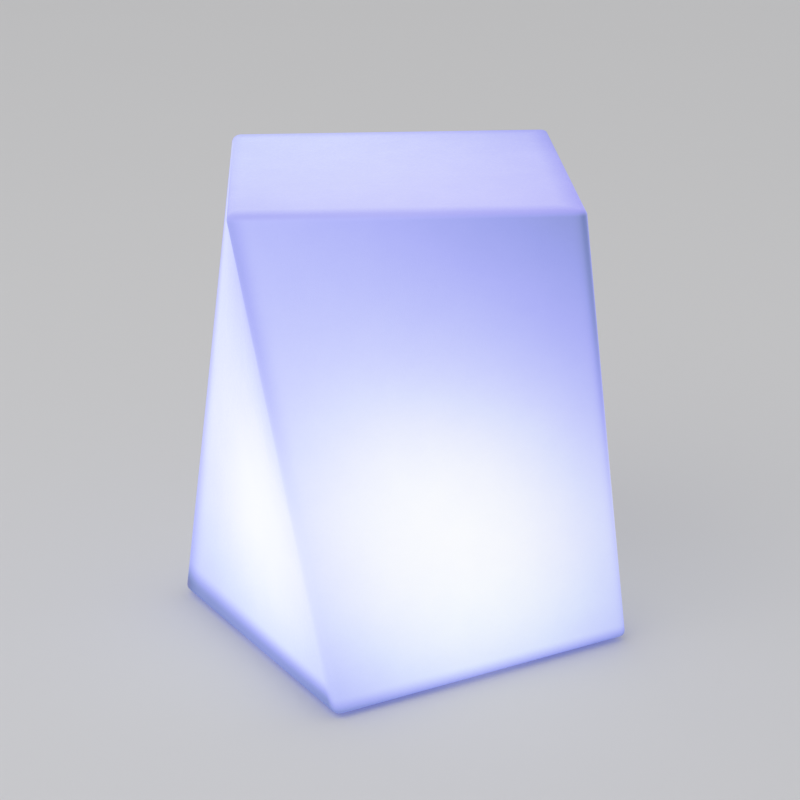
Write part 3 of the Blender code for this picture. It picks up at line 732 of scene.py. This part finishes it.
def combine(thing, tools, operation):
    """Join the tools to the object or cut them out of it, and remove them."""
    for tool in tools:
        boolean = thing.modifiers.new(operation.lower(), "BOOLEAN")
        boolean.operation = operation
        boolean.solver = "EXACT"
        boolean.object = tool
    apply_modifiers(thing)
    for tool in tools:
        bpy.data.objects.remove(tool, do_unlink=True)


def paint(mesh, material):
    mesh.materials.clear()
    mesh.materials.append(material)


def dress(mesh, material):
    """Shade a mesh smooth up to its sharp edges, and paint it."""
    mesh.shade_smooth()
    mesh.set_sharp_from_angle(angle=edge_angle)
    paint(mesh, material)


def arc(radius, start_degrees, end_degrees, steps):
    start = math.radians(start_degrees)
    sweep = math.radians(end_degrees) - start
    angles = [start + sweep * i / steps for i in range(steps + 1)]
    return [(radius * math.cos(a), radius * math.sin(a)) for a in angles]


def square_point(side, radius, index, step):
    """A point on a square with rounded corners: first round a corner, then along a side."""
    quarter = math.tau / 4
    centre = side / 2 - radius
    if step <= corner_steps:
        angle = quarter * (index + step / corner_steps)
        corner = Matrix.Rotation(quarter * index, 2) @ Vector((centre, centre))
        return corner + radius * Vector((math.cos(angle), math.sin(angle)))
    along = (step - corner_steps) / side_steps
    turn = Matrix.Rotation(quarter * (index + 1), 2)
    return turn @ Vector((side / 2, 2 * centre * along - centre))


def square_ring(side, radius):
    steps = range(corner_steps + side_steps)
    return [square_point(side, radius, index, step) for index in range(4) for step in steps]


def shell_section(height, inset=0):
    """The shell's outline at a height, between the seat's square and the base's turned one."""
    share = (stool_height - height) / (stool_height - shell_base_z)
    radius = upright_edge_radius - inset
    seat = square_ring(seat_side - 2 * inset, radius)
    turn = Matrix.Rotation(base_turn, 2)
    base = [turn @ point for point in square_ring(base_side - 2 * inset, radius)]
    mixed = [a.lerp(b, share) for a, b in zip(seat, base)]
    return [(point.x, point.y, height) for point in mixed]


def circle_section(radius, height):
    """A circle with as many points as a section of the shell, in line with them."""
    count = 4 * (corner_steps + side_steps)
    lead = math.tau / 4 * corner_steps / (corner_steps + side_steps) / 2
    start = base_turn + math.tau / 8 - lead
    angles = [start + math.tau * i / count for i in range(count)]
    return [(radius * math.cos(a), radius * math.sin(a), height) for a in angles]


def shell_rings():
    """The outer surface from the seat's edge, down the walls, under the base and up the recess."""
    rings = []
    top = stool_height - rim_radius
    bottom = shell_base_z + rim_radius
    for out, up in arc(rim_radius, 90, 0, rim_steps):
        rings.append(shell_section(top + up, rim_radius - out))
    for step in range(1, wall_steps):
        rings.append(shell_section(top + (bottom - top) * step / wall_steps))
    for out, up in arc(rim_radius, 0, -90, rim_steps):
        rings.append(shell_section(bottom + up, rim_radius - out))
    lip_centre = shell_base_z + recess_lip_radius
    for out, up in arc(recess_lip_radius, -90, -180, rim_steps):
        rings.append(circle_section(recess_radius + recess_lip_radius + out, lip_centre + up))
    corner_centre = recess_radius - recess_taper - recess_corner_radius
    for out, up in arc(recess_corner_radius, 0, 90, rim_steps):
        rings.append(circle_section(corner_centre + out, ledge_z - recess_corner_radius + up))
    rings.append(circle_section(opening_radius, ledge_z))
    return rings


def rod(radius, low, high, x, y):
    """An upright cylinder that cuts or joins."""
    working = bmesh.new()
    middle = Matrix.Translation((x, y, (low + high) / 2))
    bmesh.ops.create_cone(
        working, cap_ends=True, segments=hole_segments, radius1=radius, radius2=radius,
        depth=high - low, matrix=middle,
    )
    return linked("rod", built("rod", working))


def around(radius, degrees):
    """Four places round the axis, at the given angle from the base's own axes."""
    angles = [base_turn + math.radians(degrees) + math.tau * i / 4 for i in range(4)]
    return [(radius * math.cos(a), radius * math.sin(a)) for a in angles]


def make_shell():
    """The moulded skin with its bosses, pockets and holes."""
    working = bmesh.new()
    rings = [[working.verts.new(point) for point in ring] for ring in shell_rings()]
    working.faces.new(rings[0])
    for upper, lower in zip(rings, rings[1:]):
        for i, corner in enumerate(upper):
            after = (i + 1) % len(upper)
            working.faces.new((corner, lower[i], lower[after], upper[after]))
    shell = linked("glowing_shell", built("glowing_shell", working))
    solidify = shell.modifiers.new("wall", "SOLIDIFY")
    solidify.thickness = shell_wall
    solidify.offset = -1
    solidify.use_even_offset = True
    apply_modifiers(shell)
    bosses = []
    holes = []
    for x, y in around(insert_place_radius, insert_place_degrees):
        bosses.append(rod(insert_boss_radius, ledge_z + overlap, insert_boss_top_z, x, y))
        holes.append(rod(insert_hole_radius, ledge_z - overrun, insert_hole_top_z, x, y))
    for x, y in around(foot_place_radius, foot_place_degrees):
        bosses.append(rod(foot_boss_radius, shell_base_z + overlap, foot_boss_top_z, x, y))
        holes.append(rod(foot_pocket_radius, shell_base_z - overrun, foot_pocket_z, x, y))
        holes.append(rod(foot_shank_radius, foot_pocket_z - overrun, foot_shank_top_z, x, y))
    combine(shell, bosses, "UNION")
    combine(shell, holes, "DIFFERENCE")
    dress(shell.data, shell_look())
    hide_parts("seat_shell")
    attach(shell, "stool")


def turned(profile, ring=False):
    """A turned mesh. The profile runs down the outer side; a ring's profile closes on itself."""
    working = bmesh.new()
    angles = [math.tau * i / turned_segments for i in range(turned_segments)]
    rows = []
    for radius, height in profile:
        around_axis = angles if radius else angles[:1]
        points = [(radius * math.cos(a), radius * math.sin(a), height) for a in around_axis]
        rows.append([working.verts.new(point) for point in points])
    pairs = list(zip(rows, rows[1:]))
    if ring:
        pairs.append((rows[-1], rows[0]))
    for upper, lower in pairs:
        for i in range(turned_segments):
            after = (i + 1) % turned_segments
            corners = (
                upper[i % len(upper)], lower[i % len(lower)],
                lower[after % len(lower)], upper[after % len(upper)],
            )
            working.faces.new(list(dict.fromkeys(corners)))
    return built_outwards("turned", working)


def capped(name, working, rows):
    """The mesh of a bar, from its outlines one after the other."""
    working.faces.new(rows[0])
    working.faces.new(rows[-1])
    for near, far in zip(rows, rows[1:]):
        for i, corner in enumerate(near):
            after = (i + 1) % len(near)
            working.faces.new((corner, near[after], far[after], far[i]))
    return built_outwards(name, working)


def rounded(radius, height, size):
    """Points down and in round an edge whose arc is centred on the given radius and height."""
    return [(radius + out, height + up) for out, up in arc(size, 0, -90, round_steps)]


def foot_profile(top_z):
    profile = [(foot_top_radius, top_z)]
    profile += rounded(foot_base_radius - foot_round, foot_round, foot_round)
    for radius in foot_grip_radii:
        profile += [
            (radius, 0),
            (radius - foot_grip_width / 4, foot_grip_depth),
            (radius - foot_grip_width * 3 / 4, foot_grip_depth),
            (radius - foot_grip_width, 0),
        ]
    profile += [
        (foot_hole_radius + foot_hole_chamfer, 0),
        (foot_hole_radius, foot_hole_chamfer),
        (foot_hole_radius, foot_seat_z),
        (foot_bore_radius, foot_seat_z),
        (foot_bore_radius, top_z),
    ]
    return profile


def cross(reach, depth):
    """A plus-shaped bar from below the ground to the given height, which cuts a screw's drive."""
    half = drive_width / 2
    outline = []
    for index in range(4):
        turn = Matrix.Rotation(math.tau / 4 * index + drive_turn, 2)
        arm = ((half, half), (half, reach), (-half, reach))
        outline += [turn @ Vector(point) for point in arm]
    working = bmesh.new()
    rows = []
    for taper, height in ((1, -overrun), (drive_taper, depth)):
        points = [(point.x * taper, point.y * taper, height) for point in outline]
        rows.append([working.verts.new(point) for point in points])
    return linked("cross", capped("cross", working, rows))


def screw_mesh(sizes, length):
    """A pan-head screw with a cross in its head, which is at the bottom and faces down."""
    radius, head_radius, head_height = sizes
    side = head_height * head_side_share
    chamfer = head_height * head_chamfer_share
    tip = radius * shank_tip_share
    dome = arc(1.0, 0, 90, head_steps)[:-1]
    profile = [
        (0, length),
        (radius - tip, length),
        (radius, length - tip),
        (radius, head_height),
        (head_radius - chamfer, head_height),
        (head_radius, head_height - chamfer),
        *[(head_radius * out, side * (1 - down)) for out, down in dome],
        (0, 0),
    ]
    screw = linked("screw", turned(profile))
    depth = head_height * drive_depth_share
    combine(screw, [cross(head_radius * drive_reach_share, depth)], "DIFFERENCE")
    return taken(screw)


def spring_mesh():
    """A coil of round wire, about its own axis, with its heights above the ground."""
    low = spring_low_z + spring_wire_radius
    high = spring_high_z - spring_wire_radius
    curve = bpy.data.curves.new("coil", "CURVE")
    curve.dimensions = "3D"
    curve.bevel_depth = spring_wire_radius
    curve.bevel_resolution = spring_wire_steps
    curve.use_fill_caps = True
    count = spring_turns * spring_points_per_turn
    line = curve.splines.new("POLY")
    line.points.add(count)
    for i, point in enumerate(line.points):
        share = i / count
        angle = math.tau * spring_turns * share
        x = spring_coil_radius * math.cos(angle)
        y = spring_coil_radius * math.sin(angle)
        point.co = (x, y, low + (high - low) * share, 1)
    coil = linked("coil", curve)
    mesh = evaluated(coil)
    bpy.data.objects.remove(coil)
    return mesh


def button_profile():
    return [
        (0, button_stem_top_z),
        (button_stem_radius, button_stem_top_z),
        (button_stem_radius, button_rim_high_z),
        (button_rim_radius, button_rim_high_z),
        (button_rim_radius, button_rim_low_z),
        (button_radius, button_rim_low_z),
        *rounded(button_radius - button_round, button_face_z + button_round, button_round),
        (button_ring_radius, button_face_z),
        (button_dish_radius, button_face_z + button_dish_depth),
        (0, button_face_z + button_dish_depth),
    ]


def bezel_profile():
    return [
        (bezel_sleeve_radius, bezel_top_z),
        (bezel_sleeve_radius, bezel_back_z),
        (bezel_flange_radius, bezel_back_z),
        *rounded(bezel_flange_radius - bezel_round, bezel_face_z + bezel_round, bezel_round),
        (bezel_mouth_radius + bezel_mouth_chamfer, bezel_face_z),
        (bezel_mouth_radius, bezel_face_z + bezel_mouth_chamfer),
        (bezel_mouth_radius, bezel_shoulder_z),
        (bezel_bore_radius, bezel_shoulder_z),
        (bezel_bore_radius, bezel_top_z),
    ]


def cover_profile():
    plug_top_z = strap_thickness + plug_length
    return [
        (0, strap_thickness),
        (plug_hollow_radius, strap_thickness),
        (plug_hollow_radius, plug_top_z),
        (plug_tip_radius, plug_top_z),
        (plug_base_radius, strap_thickness),
        (cover_radius, strap_thickness),
        *rounded(cover_radius - cover_round, cover_face_z + cover_round, cover_round),
        (cover_ring_radius, cover_face_z),
        (cover_dish_radius, cover_face_z + cover_dish_depth),
        (0, cover_face_z + cover_dish_depth),
    ]


def anchor_profile():
    return [
        (0, anchor_top_z),
        (anchor_stem_radius, anchor_top_z),
        (anchor_barb_radius, anchor_barb_z),
        (anchor_stem_radius, anchor_barb_z),
        (anchor_stem_radius, strap_thickness),
        (anchor_head_radius, strap_thickness),
        *rounded(anchor_head_radius - strap_bevel, strap_bevel, strap_bevel),
        (0, 0),
    ]


def bar(start, end, width, slices):
    """A flat bar with bevelled edges along Y, sliced across, as thick as the strap."""
    side = width / 2
    top = strap_thickness
    half = [
        (side - strap_bevel, 0),
        (side, strap_bevel),
        (side, top - strap_bevel),
        (side - strap_bevel, top),
    ]
    outline = half + [(-x, z) for x, z in reversed(half)]
    working = bmesh.new()
    places = [start + (end - start) * i / slices for i in range(slices + 1)]
    rows = [[working.verts.new((x, y, z)) for x, z in outline] for y in places]
    return linked("bar", capped("bar", working, rows))


def cover_mesh():
    """The socket cover, its finger tab, the strap and the anchor that is pressed into the tray."""
    cover = linked("cover", moved(turned(cover_profile()), (0, strap_reach, 0)))
    strap = bar(-anchor_reach, strap_reach - cover_radius + overlap, strap_width, strap_slices)
    rim = strap_reach + cover_radius
    tab = bar(rim - overlap, rim + tab_reach, tab_width, 1)
    anchor = linked("anchor", moved(turned(anchor_profile()), (0, -anchor_reach, 0)))
    combine(cover, [strap, tab, anchor], "UNION")
    return taken(cover)


def placed(name, mesh, place, slot):
    """A piece with its mesh at a place, in the finish of a material slot."""
    piece = linked(name, moved(mesh, place))
    dress(mesh, looks[slot])
    return piece


def stand_in(node, mesh, body, low_z=0.0):
    """Put a mesh where a node is, give it the node's finish and let it replace the node."""
    low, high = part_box(node)
    name = node.replace("rubber_foot", "foot_pad").replace("button_", "push_") + "_shape"
    middle = ((low[0] + high[0]) / 2, (low[1] + high[1]) / 2, low_z)
    piece = placed(name, mesh, middle, slot_of[node])
    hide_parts(node)
    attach(piece, body)
    return piece


def make_floor():
    working = bmesh.new()
    bmesh.ops.create_circle(
        working, cap_ends=True, segments=floor_segments, radius=floor_radius
    )
    floor = linked("studio_floor", built("studio_floor", working))
    look = Look("floor_paint")
    second = shaded(floor_colour, floor_second_share)
    look.set(
        Base_Color=look.mix(look.noise(*floor_noise), floor_colour, second),
        Roughness=floor_roughness,
        Specular_IOR_Level=floor_specular,
    )
    floor.data.materials.append(look.material)
    floor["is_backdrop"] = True


make_shell()

# Finish of the model's own pieces
looks = {slot: plain_look(slot, *finish) for slot, finish in plain_finishes.items()}
slot_of = {row["node"]: row["material_slot"] for row in frame["record"]["subparts"]}
for node, slot in slot_of.items():
    if slot in looks:
        paint(nodes[node].data, looks[slot])

# Finer pieces where they show underneath
for number in range(1, 5):
    foot = f"rubber_foot_{number}"
    stand_in(foot, turned(foot_profile(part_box(foot)[1][2]), ring=True), "stool")
    for start, sizes in (("foot_screw", foot_screw_sizes), ("tray_screw", tray_screw_sizes)):
        screw = f"{start}_{number}"
        low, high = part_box(screw)
        stand_in(screw, screw_mesh(sizes, high[2] - low[2]), "stool", low[2])
stand_in("button_cap", turned(button_profile()), "button")
stand_in("button_bezel", turned(bezel_profile(), ring=True), "stool")
spring = stand_in("button_spring", spring_mesh(), "stool")
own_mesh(spring)

# The socket cover, with its strap and anchor as one piece, at the fold's hinge
joints = frame["record"]["behaviour"]["joints"]
hinge = next(joint["pos_m"] for joint in joints if joint["name"] == "port_cover_fold")
cover = placed("port_cover_shape", cover_mesh(), hinge, "cap_silicone")
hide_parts("port_cap", "port_cap_anchor")
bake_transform(cover)

make_floor()

# Light
lamp_data = bpy.data.lights.new("soft_box", "AREA")
lamp_data.shape = "SQUARE"
lamp_data.size = lamp_side
lamp_data.energy = lamp_power
lamp = linked("soft_box", lamp_data)
lamp.location = lamp_place
aim = Vector((0, 0, stool_height / 2)) - lamp.location
lamp.rotation_euler = aim.to_track_quat("-Z", "Y").to_euler()

world = bpy.data.worlds.new("studio")
bpy.context.scene.world = world
world.use_nodes = True
sky = world.node_tree.nodes["Background"]
sky.inputs["Color"].default_value = (*world_colour, 1)
sky.inputs["Strength"].default_value = world_strength

# Camera
camera_data = bpy.data.cameras.new("camera")
camera_data.lens = camera_lens
camera_data.sensor_width = sensor_width
camera = linked("camera", camera_data)
heading = Matrix.Rotation(-camera_heading, 3, "Z")
tilt = Matrix.Rotation(math.tau / 4 - camera_pitch, 3, "X")
spin = Matrix.Rotation(camera_roll, 3, "Z")
camera.matrix_world = Matrix.LocRotScale(Vector(camera_place), heading @ tilt @ spin, None)
bpy.context.scene.camera = camera
bpy.context.scene.view_settings.view_transform = "Standard"

low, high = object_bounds()
sizes = {
    "cad": [list(cad_low), list(cad_high)],
    "visual": [list(low), list(high)],
}
